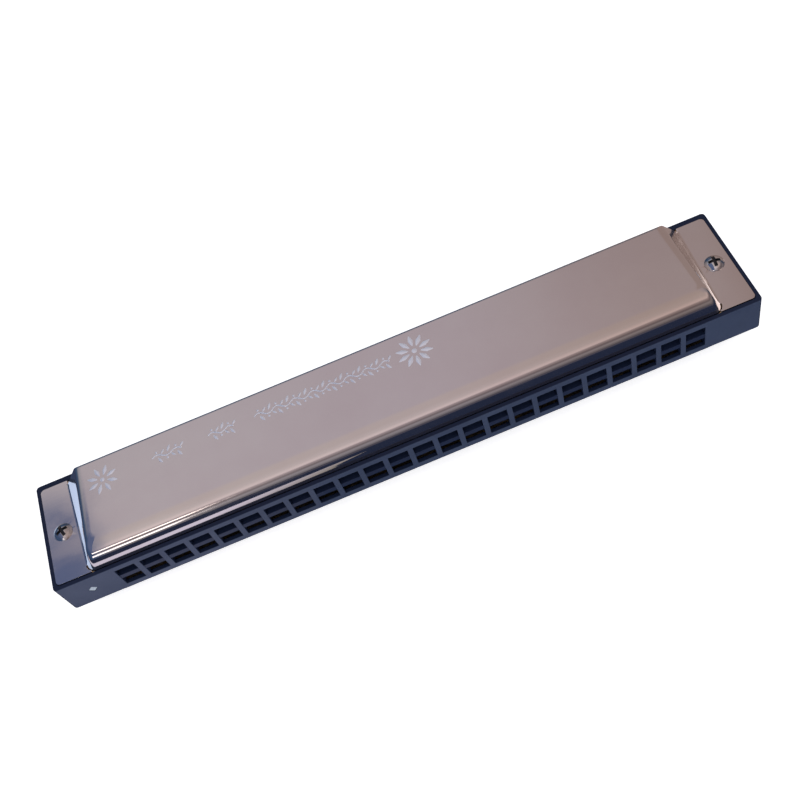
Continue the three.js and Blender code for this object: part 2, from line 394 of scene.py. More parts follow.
def close_stack(solid, rows):
    """Walls between rows of vertices, and a face over each end."""
    for lower, upper in zip(rows, rows[1:]):
        ring(solid, lower, upper)
    solid.faces.new(rows[0])
    solid.faces.new(rows[-1])
    bmesh.ops.recalc_face_normals(solid, faces=solid.faces)


def arc(centre_x, centre_y, radius, start, end, steps):
    """Points on an arc, angles in degrees from +X towards +Y, both ends included."""
    angles = [math.radians(start + (end - start) * step / steps) for step in range(steps + 1)]
    return [(centre_x + radius * math.cos(a), centre_y + radius * math.sin(a)) for a in angles]


def rounded_rectangle(x_low, x_high, y_low, y_high, radius, steps=6):
    corners = (
        (x_high - radius, y_low + radius, -90),
        (x_high - radius, y_high - radius, 0),
        (x_low + radius, y_high - radius, 90),
        (x_low + radius, y_low + radius, 180),
    )
    return [point for x, y, start in corners for point in arc(x, y, radius, start, start + 90, steps)]


def lathe(profile, steps):
    """A closed turned solid. The profile is (radius, height) pairs from one end on the axis to the other."""
    solid = bmesh.new()
    rows = []
    angles = [2 * math.pi * step / steps for step in range(steps)]
    for radius, height in profile:
        if radius == 0:
            rows.append([solid.verts.new((0, 0, height))])
        else:
            rows.append(row_at(solid, [(radius * math.cos(a), radius * math.sin(a)) for a in angles], height))
    for lower, upper in zip(rows, rows[1:]):
        if len(lower) == 1:
            for index in range(steps):
                solid.faces.new((lower[0], upper[(index + 1) % steps], upper[index]))
        elif len(upper) == 1:
            for index in range(steps):
                solid.faces.new((upper[0], lower[index], lower[(index + 1) % steps]))
        else:
            ring(solid, lower, upper)
    bmesh.ops.recalc_face_normals(solid, faces=solid.faces)
    return solid


# ---- Finishes ----
RUBBED_STRETCH = (0.03, 1.0, 1.0)
RUBBED_TURN = (0.0, 0.0, 0.05)
RUBBED_DEPTH = 0.00002
METAL_SMUDGE = 0.016
METAL_PATCH = 0.03
# Each metal: its colour, its other colour, its least and most roughness, the spacing of its rubbed lines
NICKEL = ((0.70, 0.66, 0.63), (0.66, 0.60, 0.58), (0.07, 0.16), 0.0004)
# The relief's half-metal is paler and bluer than the cover's nickel: a painted highlight on the pressed sheet
SATIN_HIGHLIGHT = ((0.80, 0.82, 0.90), (0.70, 0.71, 0.80), (0.28, 0.42), 0.0002)
# The plates' brass is darker than the reeds': painted shade for plates lying under the covers
SHADED_PLATE_BRASS = ((0.52, 0.38, 0.18), (0.40, 0.28, 0.14), (0.30, 0.44), 0.0002)
REED_BRASS = ((0.86, 0.66, 0.34), (0.74, 0.52, 0.26), (0.2, 0.34), 0.00012)
STEEL = ((0.72, 0.70, 0.68), (0.55, 0.53, 0.52), (0.10, 0.24), 0.0002)
MARK_PAINT = (0.34, 0.40, 0.47)
# Near black for the screws' cross recesses: painted shade
RECESS_SHADE = (0.012, 0.012, 0.016)
# Comb navies: a darker one inside the outer faces as painted shade, two lighter ones on the outer faces as
# painted light, faded in over these depths
SHADED_NAVY = (0.011, 0.017, 0.042)
LIT_FACE_NAVY = ((0.029, 0.040, 0.076), (0.038, 0.051, 0.092))
LIT_FACE_DEPTHS = (-0.16 * MM, -0.05 * MM)
PLASTIC_PATCH = 0.012
PLASTIC_LINES = 0.0006
PLASTIC_SMUDGE = 0.009
PLASTIC_ROUGHNESS = (0.30, 0.44)
PLASTIC_SHINE = 0.12
PLASTIC_GRAIN = 4200.0
PAINT_PATCH = 0.0008
PAINT_ROUGHNESS = (0.42, 0.6)


def build_polish_group():
    """Marks on polished metal: long rubbed lines, and soft smudges from fingers."""
    group, given = new_group(
        "polish_marks",
        "ShaderNodeTree",
        {"Coordinate": ("vector", None), "Line Spacing": ("number", 0.0004), "Smudge Size": ("number", 0.02)},
        {"Lines": ("number", None), "Smudges": ("number", None), "Tone": ("number", None)},
    )
    place = given["Coordinate"]
    along = output_of(
        group, "ShaderNodeMapping", {"Vector": place, "Scale": RUBBED_STRETCH, "Rotation": RUBBED_TURN}
    )
    lines = noise(group, along, calculate(group, "DIVIDE", 1.0, given["Line Spacing"]), 3.0)
    smudge_scale = calculate(group, "DIVIDE", 1.0, given["Smudge Size"])
    cloud = noise(group, place, smudge_scale, 5.0, roughness=0.6, distortion=0.4)
    smudges = map_range(group, cloud, 0.42, 0.72, steps="SMOOTHSTEP")
    tone = noise(group, place, calculate(group, "MULTIPLY", smudge_scale, 0.45), 2.0)
    add_node(group, "NodeGroupOutput", {"Lines": lines, "Smudges": smudges, "Tone": tone})
    return group


def build_mottle_group():
    """Slow change of colour over a surface, from one colour to the other, with fine specks."""
    group, given = new_group(
        "mottle",
        "ShaderNodeTree",
        {
            "Coordinate": ("vector", None),
            "Patch Size": ("number", 0.02),
            "Colour": ("colour", (0.5, 0.5, 0.5, 1.0)),
            "Other Colour": ("colour", (0.4, 0.4, 0.4, 1.0)),
        },
        {"Colour": ("colour", None), "Mask": ("number", None)},
    )
    scale = calculate(group, "DIVIDE", 1.0, given["Patch Size"])
    mask = map_range(group, noise(group, given["Coordinate"], scale, 6.0, roughness=0.62), 0.3, 0.7)
    mixed = mix_colours(group, mask, given["Colour"], given["Other Colour"])
    add_node(group, "NodeGroupOutput", {"Colour": mixed, "Mask": mask})
    return group


def new_material(name):
    """A material with a Principled shader, and its Object coordinates."""
    material = bpy.data.materials.new(name)
    material.use_nodes = True
    tree = material.node_tree
    coordinate = add_node(tree, "ShaderNodeTexCoord").outputs["Object"]
    return material, tree, tree.nodes["Principled BSDF"], coordinate


def polish_marks(tree, coordinate, line_spacing, smudge_size):
    inputs = {"Coordinate": coordinate, "Line Spacing": line_spacing, "Smudge Size": smudge_size}
    return add_node(tree, "ShaderNodeGroup", inputs, node_tree=POLISH).outputs


def mottled(tree, coordinate, patch_size, colour, other):
    inputs = {"Coordinate": coordinate, "Patch Size": patch_size}
    inputs.update({"Colour": (*colour, 1), "Other Colour": (*other, 1)})
    return add_node(tree, "ShaderNodeGroup", inputs, node_tree=MOTTLE).outputs


def bump(tree, shader, *layers):
    """Adds layers of relief, each a (height, strength, distance) triple."""
    relief = {}
    for height, strength, distance in layers:
        inputs = {"Height": height, "Strength": strength, "Distance": distance, **relief}
        relief = {"Normal": output_of(tree, "ShaderNodeBump", inputs)}
    feed(tree, shader, relief)


def polished_metal(name, colour, other_colour, roughness, line_spacing, wave=0.0, metallic=1.0):
    """Bright metal with rubbed lines, finger smudges and a faint change of tone."""
    material, tree, shader, coordinate = new_material(name)
    marks = polish_marks(tree, coordinate, line_spacing, METAL_SMUDGE)
    tones = mottled(tree, coordinate, METAL_PATCH, colour, other_colour)
    smudged = map_range(tree, marks["Smudges"], 0.0, 1.0, *roughness)
    feed(tree, shader, {"Base Color": tones["Colour"], "Metallic": metallic, "Roughness": smudged})
    layers = [(marks["Lines"], 0.05, RUBBED_DEPTH)]
    if wave:
        layers.append((marks["Tone"], 1.0, wave))
    bump(tree, shader, *layers)
    return material


def moulded_plastic():
    """Dark navy moulded plastic with a fine grain. Its outer upright faces and the edges along them are
    painted lighter, and everything further in, the cells and the rim's top, is painted darker: painted light
    and shade.
    """
    material, tree, shader, coordinate = new_material("moulded_navy")
    tones = mottled(tree, coordinate, PLASTIC_PATCH, *LIT_FACE_NAVY)
    x, y = parts_of(tree, coordinate)[:2]
    past_front = calculate(tree, "SUBTRACT", FRONT, y)
    past_back = calculate(tree, "SUBTRACT", y, comb_high.y)
    past_end = calculate(tree, "SUBTRACT", calculate(tree, "ABSOLUTE", x), HALF_LENGTH)
    outermost = calculate(tree, "MAXIMUM", calculate(tree, "MAXIMUM", past_front, past_back), past_end)
    # Painted light on the outer faces and their edges, painted shade on the cells and the rim's top
    lit_outer_faces = map_range(tree, outermost, *LIT_FACE_DEPTHS)
    colour = mix_colours(tree, lit_outer_faces, (*SHADED_NAVY, 1), tones["Colour"])
    marks = polish_marks(tree, coordinate, PLASTIC_LINES, PLASTIC_SMUDGE)
    smudged = map_range(tree, marks["Smudges"], 0.0, 1.0, *PLASTIC_ROUGHNESS)
    feed(tree, shader, {"Base Color": colour, "Roughness": smudged, "Specular IOR Level": PLASTIC_SHINE})
    grain = noise(tree, coordinate, PLASTIC_GRAIN, 3.0)
    bump(tree, shader, (grain, 0.18, 0.00003), (marks["Lines"], 0.12, RUBBED_DEPTH))
    return material


def painted(name, colour):
    """A slightly uneven fill for a sunk shape: thick paint for the mark, and painted shade for the screw
    recesses.
    """
    material, tree, shader, coordinate = new_material(name)
    darker = tuple(0.82 * part for part in colour)
    tones = mottled(tree, coordinate, PAINT_PATCH, colour, darker)
    dull = map_range(tree, tones["Mask"], 0.0, 1.0, *PAINT_ROUGHNESS)
    feed(tree, shader, {"Base Color": tones["Colour"], "Roughness": dull})
    bump(tree, shader, (tones["Mask"], 0.3, 0.00004))
    return material


# ---- Comb ----
def comb_blank():
    """The block that the cells are cut from: a rounded bar with a shallow recess in each broad face."""
    outer = rounded_rectangle(-HALF_LENGTH, HALF_LENGTH, FRONT, comb_high.y, CORNER_RADIUS)
    recess_end = HALF_LENGTH - END_RIM
    inner = rounded_rectangle(-recess_end, recess_end, RECESS_FRONT, RECESS_BACK, TAB_RADIUS)
    levels = (
        (inner, MIDDLE - FLOOR_RISE),
        (inner, comb_low.z),
        (outer, comb_low.z),
        (outer, comb_high.z),
        (inner, comb_high.z),
        (inner, MIDDLE + FLOOR_RISE),
    )
    solid = bmesh.new()
    close_stack(solid, [row_at(solid, outline, z) for outline, z in levels])
    return mesh_from("comb_blank", solid)


def build_comb_tree():
    """Cuts two rows of air cells, the set-back rail, the screw holes and the mark out of the blank."""
    group, given = new_group(
        "comb_cells",
        "GeometryNodeTree",
        {
            "Geometry": ("geometry", None),
            "Columns": ("count", COLUMNS),
            "Pitch": ("number", COLUMN_PITCH),
            "Cell Width": ("number", CELL_WIDTH),
            "Front": ("number", FRONT),
            "Recess Front": ("number", RECESS_FRONT),
            "Bass Chamber Back": ("number", BASS_CHAMBER_BACK),
            "Treble Chamber Back": ("number", TREBLE_CHAMBER_BACK),
            "Row Bottom": ("number", ROW_BOTTOM),
            "Row Top": ("number", ROW_TOP),
            "Floor Rise": ("number", FLOOR_RISE),
            "Rail Setback": ("number", RAIL_SETBACK),
            "Middle": ("number", MIDDLE),
            "Screw X": ("number", SCREW_X),
            "Screw Y": ("number", SCREW_Y),
            "Hole Radius": ("number", SCREW_HOLE_RADIUS),
            "Mark X": ("number", MARK_X),
            "Mark Size": ("number", MARK_SIZE),
            "Mark Depth": ("number", MARK_DEPTH),
            "Material": ("material", None),
        },
        {"Geometry": ("geometry", None)},
    )
    outside = calculate(group, "SUBTRACT", given["Front"], CUTTER_OVERSHOOT)
    last = calculate(group, "SUBTRACT", given["Columns"], 1.0)
    first_x = calculate(group, "MULTIPLY", calculate(group, "MULTIPLY", last, given["Pitch"]), -0.5)
    columns = {
        "Count": given["Columns"],
        "Start Location": vector_of(group, first_x, 0.0, 0.0),
        "Offset": vector_of(group, given["Pitch"], 0.0, 0.0),
    }
    line = output_of(group, "GeometryNodeMeshLine", columns)
    share = calculate(group, "DIVIDE", output_of(group, "GeometryNodeInputIndex"), last)
    shortening = calculate(group, "SUBTRACT", given["Treble Chamber Back"], given["Bass Chamber Back"])
    chamber_back = calculate(group, "MULTIPLY_ADD", share, shortening, given["Bass Chamber Back"])
    unit_block = output_of(group, "GeometryNodeMeshCube", {"Size": (1.0, 1.0, 1.0)})

    def row_of_blocks(y_low, y_high, rise_low, rise_high, side):
        """One block in each column, above (side 1) or below (side -1) the middle plane."""
        y_centre = calculate(group, "MULTIPLY", calculate(group, "ADD", y_low, y_high), 0.5)
        y_size = calculate(group, "SUBTRACT", y_high, y_low)
        rise = calculate(group, "MULTIPLY", calculate(group, "ADD", rise_low, rise_high), 0.5 * side)
        z_centre = calculate(group, "ADD", given["Middle"], rise)
        z_size = calculate(group, "SUBTRACT", rise_high, rise_low)
        centre = vector_of(group, 0.0, y_centre, z_centre)
        places = output_of(group, "GeometryNodeSetPosition", {"Geometry": line, "Offset": centre})
        size = vector_of(group, given["Cell Width"], y_size, z_size)
        blocks = {"Points": places, "Instance": unit_block, "Scale": size}
        return output_of(group, "GeometryNodeInstanceOnPoints", blocks)

    open_top = calculate(group, "ADD", given["Floor Rise"], CUTTER_OVERSHOOT)
    low_rail = calculate(group, "MULTIPLY", given["Row Top"], -1.0)
    rail_front = calculate(group, "ADD", given["Front"], given["Rail Setback"])
    cutters = [row_of_blocks(outside, rail_front, low_rail, given["Row Top"], 1)]
    bottom = given["Row Bottom"]
    for side in (1, -1):
        cutters.append(row_of_blocks(outside, chamber_back, bottom, given["Row Top"], side))
        cutters.append(row_of_blocks(given["Recess Front"], chamber_back, bottom, open_top, side))

    drill = {"Vertices": 24, "Radius": given["Hole Radius"], "Depth": DRILL_LENGTH}
    hole = output_of(group, "GeometryNodeMeshCylinder", drill)
    for end in (-1.0, 1.0):
        hole_x = calculate(group, "MULTIPLY", given["Screw X"], end)
        cutters.append(moved_to(group, hole, vector_of(group, hole_x, given["Screw Y"], given["Middle"])))
    side_length = calculate(group, "MULTIPLY", given["Mark Size"], math.sqrt(2))
    depth = calculate(group, "MULTIPLY", given["Mark Depth"], 2.0)
    lozenge_size = vector_of(group, side_length, depth, side_length)
    lozenge = output_of(group, "GeometryNodeMeshCube", {"Size": lozenge_size})
    mark_place = vector_of(group, given["Mark X"], given["Front"], given["Middle"])
    cutters.append(moved_to(group, lozenge, mark_place, Rotation=(0.0, math.radians(45), 0.0)))
    end_tree(group, cut_away(group, given["Geometry"], cutters), given["Material"])
    return group


def make_comb(material):
    comb = grow("comb_moulding", comb_blank(), build_comb_tree(), {"Material": material})
    simplify(comb)
    soften(comb, EDGE_SOFTNESS)
    shade(comb)
    keep(comb, "moulded_comb", "comb")


def make_mark_paint(material):
    """A light paint fill in the sunk lozenge, a little below the front face."""
    size = MARK_SIZE - PAINT_MARGIN
    face = FRONT + PAINT_SUNK
    solid = bmesh.new()
    rows = []
    for scale, y in ((1.0, FRONT + MARK_DEPTH + PAINT_KEY), (1.0, face + PAINT_ROUNDING), (0.86, face)):
        reach = size * scale
        corners = ((-reach, 0), (0, -reach), (reach, 0), (0, reach))
        rows.append([solid.verts.new((MARK_X + x, y, MIDDLE + z)) for x, z in corners])
    close_stack(solid, rows)
    paint = link_piece("mark_paint", mesh_from("mark_paint", solid))
    paint.data.materials.append(material)
    shade(paint)
    keep(paint, "moulded_comb")


# ---- Covers ----
TOP_LEVEL = cover_high.z
WALL_FOOT = cover_low.z
TAB_LEVEL = WALL_FOOT + SHEET
COVER_FRONT = cover_low.y
TAB_BACK = cover_high.y
TAB_END = cover_high.x
BEND_BACK = RAISED_BACK - BACK_BEND_RADIUS
SHOULDER_LEVEL = TOP_LEVEL - SHOULDER_RADIUS
SHOULDER_FOOT = SHOULDER_LEVEL + SHOULDER_RADIUS * math.sin(FRONT_LEAN)
WALL_LEAN = math.atan2(RAISED_BASE - RAISED_TOP, TOP_LEVEL - TAB_LEVEL)
WALL_SLOPE = math.radians(90) - WALL_LEAN
TAPER_LIMIT = RAISED_BASE + 2.3 * MM
SHOULDER_STEPS = 22
ARC_STEPS = 9
FRONT_STEPS = 40
SIDE_STEPS = 10
FLARE_STEPS = 8


def end_wall_reach(level):
    """How far the end wall stands from the middle at a level: a small bend, then a steady slope."""
    drop = TOP_LEVEL - level
    bend_start = RAISED_TOP - END_BEND_RADIUS * math.tan(WALL_SLOPE / 2)
    bend_drop = END_BEND_RADIUS * (1 - math.cos(WALL_SLOPE))
    if drop < bend_drop:
        return bend_start + math.sqrt(max(0.0, END_BEND_RADIUS**2 - (END_BEND_RADIUS - drop) ** 2))
    return RAISED_TOP + drop * math.tan(WALL_LEAN)


def front_reach(level):
    """How far forward the cover comes at a level: a round shoulder, then a wall that leans back a little."""
    lean = math.tan(FRONT_LEAN)
    if level < SHOULDER_FOOT:
        return COVER_FRONT + (level - WALL_FOOT) * lean
    centre = COVER_FRONT + (SHOULDER_FOOT - WALL_FOOT) * lean + SHOULDER_RADIUS * math.cos(FRONT_LEAN)
    return centre - math.sqrt(max(0.0, SHOULDER_RADIUS**2 - (level - SHOULDER_LEVEL) ** 2))


def back_reach(level):
    """How far back the end wall goes at a level: its edge bends down as the hem does."""
    rise = max(0.0, level - (TOP_LEVEL - BACK_BEND_RADIUS))
    bend = math.sqrt(max(0.0, BACK_BEND_RADIUS**2 - rise**2))
    return BEND_BACK + max(LEAST_BEND, bend)


def cover_outline(level):
    """One level of the cover, as (bass side, corner and front and corner, treble side) rows of points."""
    reach, front = end_wall_reach(level), front_reach(level)
    share = min(1.0, max(0.0, (level - WALL_FOOT) / (TOP_LEVEL - WALL_FOOT)))
    corner = BASE_CORNER + (TOP_CORNER - BASE_CORNER) * share
    corner_y = front + corner
    side_y = [back_reach(level)]
    side_y += [BEND_BACK + (corner_y - BEND_BACK) * step / SIDE_STEPS for step in range(SIDE_STEPS + 1)]
    inner = reach - corner
    bass_arc = arc(-inner, corner_y, corner, 180, 270, ARC_STEPS)[1:]
    middle = [(-inner + 2 * inner * step / FRONT_STEPS, front) for step in range(1, FRONT_STEPS)]
    treble_arc = arc(inner, corner_y, corner, 270, 360, ARC_STEPS)[:-1]
    bass_side = [(-reach, y) for y in side_y]
    treble_side = [(reach, y) for y in reversed(side_y)]
    return bass_side, bass_arc + middle + treble_arc, treble_side


def cover_levels():
    """Levels from the flat top down to where the walls divide into the front's foot and the end flares."""
    sweep = math.radians(90) - FRONT_LEAN
    angles = [sweep * step / SHOULDER_STEPS for step in range(SHOULDER_STEPS + 1)]
    return [SHOULDER_LEVEL + SHOULDER_RADIUS * math.cos(angle) for angle in angles]


def tab_outline(flare_reach):
    """Half of a tab's edge at the treble end, from round the wall's front corner to the back of the flare."""
    base_reach = end_wall_reach(WALL_FOOT)
    gap_radius = BASE_CORNER + TAB_GAP
    corner_x, corner_y = base_reach - BASE_CORNER, COVER_FRONT + BASE_CORNER
    angles = [math.radians(angle) for angle in TAB_CORNER_ANGLES]
    outline = [(corner_x + gap_radius * math.cos(a), corner_y - gap_radius * math.sin(a)) for a in angles]
    outline.append((outline[-1][0] + TAB_NICK, COVER_FRONT))
    outline += arc(TAB_END - TAB_RADIUS, COVER_FRONT + TAB_RADIUS, TAB_RADIUS, -90, 0, 6)
    outline += arc(TAB_END - TAB_RADIUS, TAB_BACK - TAB_RADIUS, TAB_RADIUS, 0, 90, 6)
    inner_reach = base_reach - TAB_INSET
    outline += arc(inner_reach + INNER_CORNER, TAB_BACK - INNER_CORNER, INNER_CORNER, 90, 180, 4)
    return [*outline, (inner_reach, RAISED_BACK + TAB_GAP), (flare_reach, RAISED_BACK + TAB_GAP)]


def add_tab(solid, flare_row, end):
    """The flat tab at one end, from the flare to its rounded outer corners, with its screw hole."""
    outline = tab_outline(abs(flare_row[0].co.x))
    edge_row = row_at(solid, [(end * x, y) for x, y in outline], TAB_LEVEL)
    hole_points = arc(SCREW_X, SCREW_Y, COVER_HOLE_RADIUS, 0, 345, 23)
    hole = row_at(solid, [(end * x, y) for x, y in hole_points], TAB_LEVEL)
    edges = []
    for loop in ([*flare_row, *edge_row], hole):
        for first, second in zip(loop, [*loop[1:], loop[0]]):
            edges.append(solid.edges.get((first, second)) or solid.edges.new((first, second)))
    filled = bmesh.ops.triangle_fill(solid, use_beauty=True, edges=edges, normal=(0, 0, 1))
    for face in filled["geom"]:
        if isinstance(face, bmesh.types.BMFace) and face.normal.z < 0:
            face.normal_flip()


def add_end_wall(solid, side_row, end):
    """The end wall goes down its slope, then turns out into the tab."""
    wall_end_level = TAB_LEVEL + FLARE_RADIUS * (1 - math.cos(WALL_SLOPE))
    flare_centre = end_wall_reach(wall_end_level) + FLARE_RADIUS * math.sin(WALL_SLOPE)
    previous = side_row
    for step in range(FLARE_STEPS + 1):
        angle = WALL_SLOPE * (1 - step / FLARE_STEPS)
        reach = flare_centre - FLARE_RADIUS * math.sin(angle)
        z = TAB_LEVEL + FLARE_RADIUS * (1 - math.cos(angle))
        row = row_at(solid, [(end * reach, vertex.co.y) for vertex in side_row], z)
        strip(solid, previous, row)
        previous = row
    flare_edge = flare_centre + FLARE_MARGIN
    guard = row_at(solid, [(end * flare_edge, vertex.co.y) for vertex in side_row], TAB_LEVEL)
    strip(solid, previous, guard)
    add_tab(solid, guard, end)


def add_top(solid, top_row):
    """The flat top: a narrow flat ring, then one broad face, so that the bends don't tilt its shading."""
    bass, front_row, treble = top_row
    outer = [*bass[1:], *front_row, *treble[:-1]]
    reach, front = end_wall_reach(TOP_LEVEL), front_reach(TOP_LEVEL)
    shrink_x = (reach - GUARD) / reach
    inner = []
    for vertex in outer:
        y = min(vertex.co.y, BEND_BACK - GUARD)
        y_share = (y - front) / (RAISED_BACK - front)
        inner.append(solid.verts.new((vertex.co.x * shrink_x, y + GUARD * (1 - y_share) ** 2, TOP_LEVEL)))
    strip(solid, outer, inner)
    solid.faces.new(inner)
    solid.faces.new((outer[0], outer[-1], inner[-1], inner[0]))


def add_hem(solid, rows):
    """The top's back edge bends down into a short hem over the sound gap, joined to the end walls."""
    top_bass, _, top_treble = rows[0]
    previous = [top_bass[1], top_treble[-2]]
    for bass, _, treble in rows:
        if TOP_LEVEL - bass[0].co.z > HEM_DROP:
            break
        row = [bass[0], treble[-1]]
        strip(solid, previous, row)
        previous = row


def steepen_end_walls(solid):
    """Towards the front the end walls get steeper: their foot comes in and their top goes out."""
    for vertex in solid.verts:
        if abs(vertex.co.x) < TAPER_LIMIT:
            forward = min(1.0, max(0.0, (RAISED_BACK - vertex.co.y) / (RAISED_BACK - COVER_FRONT)))
            upward = min(1.0, max(0.0, (vertex.co.z - TAB_LEVEL) / (TOP_LEVEL - TAB_LEVEL)))
            taper = FOOT_TAPER * (1 - upward) - TOP_WIDENING * upward
            vertex.co.x *= 1 - taper / RAISED_BASE * forward


def cover_shell():
    """The outer skin of the upper cover, before it gets its thickness."""
    solid = bmesh.new()
    rows = []
    for level in cover_levels():
        rows.append([row_at(solid, points, level) for points in cover_outline(level)])
    for upper, lower in zip(rows, rows[1:]):
        strip(solid, [*upper[0], *upper[1], *upper[2]], [*lower[0], *lower[1], *lower[2]])

    # The front wall and both corners go straight down to the plate.
    bass, front, treble = rows[-1]
    bass_foot, front_foot, treble_foot = cover_outline(WALL_FOOT)
    foot = row_at(solid, [bass_foot[-1], *front_foot, treble_foot[0]], WALL_FOOT)
    strip(solid, [bass[-1], *front, treble[0]], foot)

    add_end_wall(solid, bass, -1)
    add_end_wall(solid, list(reversed(treble)), 1)
    add_top(solid, rows[0])
    add_hem(solid, rows)
    steepen_end_walls(solid)
    bmesh.ops.recalc_face_normals(solid, faces=solid.faces)
    top_face = max(solid.faces, key=lambda face: face.calc_area())
    if top_face.normal.z < 0:
        bmesh.ops.reverse_faces(solid, faces=solid.faces)
    return solid


def make_cover(level, material):
    """One cover: pressed skin, thickness and rounded cut edges. The lower one is the upper one flipped."""
    name = f"{level}_cover_shell"
    cover = link_piece(name, mesh_from(name, cover_shell()))
    thickness = cover.modifiers.new("sheet", "SOLIDIFY")
    thickness.thickness = SHEET
    thickness.offset = -1.0
    settle(cover)
    soften(cover, CUT_EDGE_SOFTNESS, segments=3, angle=50.0)
    for vertex in cover.data.vertices:
        vertex.co.z = max(vertex.co.z, WALL_FOOT)
    if level == "lower":
        cover.data.transform(Matrix.Translation((0, 0, 2 * MIDDLE)) @ Matrix.Scale(-1, 4, (0, 0, 1)))
        cover.data.flip_normals()
    cover.data.materials.append(material)
    shade(cover)
    keep(cover, "cover_nickel", f"{level}_cover")


# ---- Ornament ----
ORNAMENT_RISE = 0.16 * MM
ORNAMENT_CAP = 0.6
LEAF_POINT = 0.65
ORNAMENT_SUNK = 0.03 * MM
LEAF_LENGTH = 2.5 * MM
LEAF_WIDTH = 0.95 * MM
BEAD_RADIUS = 0.4 * MM
STEM_RADIUS = 0.18 * MM
STEM, LEAF, BEAD = 0.0, 1.0, 2.0
# Each vine in millimetres: start, end, spacing of its leaves, swing of its stem
VINES = ((-58.0, -50.5, 2.5, 0.5), (-43.5, -37.0, 2.2, 0.5), (-31.5, 3.5, 2.35, 0.6))


def build_ornament_tree():
    """Grows pointed leaves and round beads on marked points, and a thin stem along the edges between them."""
    group, given = new_group(
        "leaves_and_beads",
        "GeometryNodeTree",
        {
            "Geometry": ("geometry", None),
            "Leaf Length": ("number", LEAF_LENGTH),
            "Leaf Width": ("number", LEAF_WIDTH),
            "Bead Radius": ("number", BEAD_RADIUS),
            "Stem Radius": ("number", STEM_RADIUS),
            "Rise": ("number", ORNAMENT_RISE),
            "Material": ("material", None),
        },
        {"Geometry": ("geometry", None)},
    )
    sphere = output_of(group, "GeometryNodeMeshUVSphere", {"Segments": 12, "Rings": 6, "Radius": 1.0})
    x, y, z = parts_of(group, output_of(group, "GeometryNodeInputPosition"))
    narrowing = calculate(group, "MULTIPLY", calculate(group, "ABSOLUTE", x), LEAF_POINT)
    leaf_y = calculate(group, "MULTIPLY", y, calculate(group, "SUBTRACT", 1.0, narrowing))
    above_cap = calculate(group, "SUBTRACT", calculate(group, "MAXIMUM", z, ORNAMENT_CAP), ORNAMENT_CAP)
    rise = calculate(group, "DIVIDE", above_cap, 1.0 - ORNAMENT_CAP)
    half_leaf = calculate(group, "MULTIPLY", given["Leaf Length"], 0.5)
    half_width = calculate(group, "MULTIPLY", given["Leaf Width"], 0.5)

    def low_relief(across, start, reach, half):
        """The top of the sphere as a low shape: its Y, how far along it starts, and its half sizes."""
        place = vector_of(group, x, across, rise)
        shape = output_of(group, "GeometryNodeSetPosition", {"Geometry": sphere, "Position": place})
        start_place = vector_of(group, start, 0.0, 0.0)
        return moved_to(group, shape, start_place, Scale=vector_of(group, reach, half, given["Rise"]))

    leaf = low_relief(leaf_y, half_leaf, half_leaf, half_width)
    bead = low_relief(y, 0.0, given["Bead Radius"], given["Bead Radius"])

    def marked(name):
        named = add_node(group, "GeometryNodeInputNamedAttribute", {"Name": name}, data_type="FLOAT")
        return named.outputs["Attribute"]

    joined = add_node(group, "GeometryNodeJoinGeometry")
    for kind, shape in ((LEAF, leaf), (BEAD, bead)):
        copies = {
            "Points": given["Geometry"],
            "Selection": calculate(group, "COMPARE", marked("kind"), kind, 0.1),
            "Instance": shape,
            "Rotation": vector_of(group, 0.0, 0.0, marked("turn")),
            "Scale": vector_of(group, marked("size"), marked("size"), 1.0),
        }
        group.links.new(output_of(group, "GeometryNodeInstanceOnPoints", copies), joined.inputs[0])
    line = output_of(group, "GeometryNodeMeshToCurve", {"Mesh": given["Geometry"]})
    section = {"Resolution": 8, "Radius": given["Stem Radius"]}
    round_section = output_of(group, "GeometryNodeCurvePrimitiveCircle", section)
    sweep = {"Curve": line, "Profile Curve": round_section, "Fill Caps": True}
    group.links.new(output_of(group, "GeometryNodeCurveToMesh", sweep), joined.inputs[0])
    end_tree(group, joined.outputs[0], given["Material"])
    return group


class OrnamentPlan:
    """Where the leaves, beads and stems of the band go."""

    def __init__(self):
        self.places, self.kinds, self.turns, self.sizes, self.edges = [], [], [], [], []

    def add(self, x, y, kind=STEM, turn=0.0, size=1.0):
        self.places.append((x, y, TOP_LEVEL - ORNAMENT_SUNK))
        self.kinds.append(kind)
        self.turns.append(turn)
        self.sizes.append(size)
        return len(self.places) - 1

    def rosette(self, x, y, leaves, size):
        """Leaves round a bead."""
        self.add(x, y, kind=BEAD, size=1.3 * size)
        for index in range(leaves):
            angle = 2 * math.pi * (index + 0.5) / leaves
            reach = 0.55 * MM * size
            leaf_x, leaf_y = x + reach * math.cos(angle), y + reach * math.sin(angle)
            self.add(leaf_x, leaf_y, kind=LEAF, turn=angle, size=size)

    def vine(self, x_start, x_end, y, spacing, swing):
        """A waving stem with a leaf on alternate sides and a bead opposite each one."""
        count = max(1, round((x_end - x_start) / spacing))
        steps = count * 6
        previous = None
        for step in range(steps + 1):
            x = x_start + (x_end - x_start) * step / steps
            wave = swing * math.sin(math.pi * count * step / steps)
            point = self.add(x, y + wave)
            if previous is not None:
                self.edges.append((previous, point))
            previous = point
        for index in range(count):
            x = x_start + (x_end - x_start) * (index + 0.5) / count
            side = 1 if index % 2 == 0 else -1
            self.add(x, y - side * 0.1 * MM, kind=LEAF, turn=-side * math.radians(62), size=1.05)
            small_turn = side * math.radians(48)
            self.add(x + 0.35 * spacing, y + side * 0.2 * MM, kind=LEAF, turn=small_turn, size=0.8)
            self.add(x, y + side * (swing + 0.75 * MM), kind=BEAD)

    def mesh(self):
        mesh = bpy.data.meshes.new("ornament_plan")
        mesh.from_pydata(self.places, self.edges, [])
        for name, values in (("kind", self.kinds), ("turn", self.turns), ("size", self.sizes)):
            mesh.attributes.new(name, "FLOAT", "POINT").data.foreach_set("value", values)
        return mesh


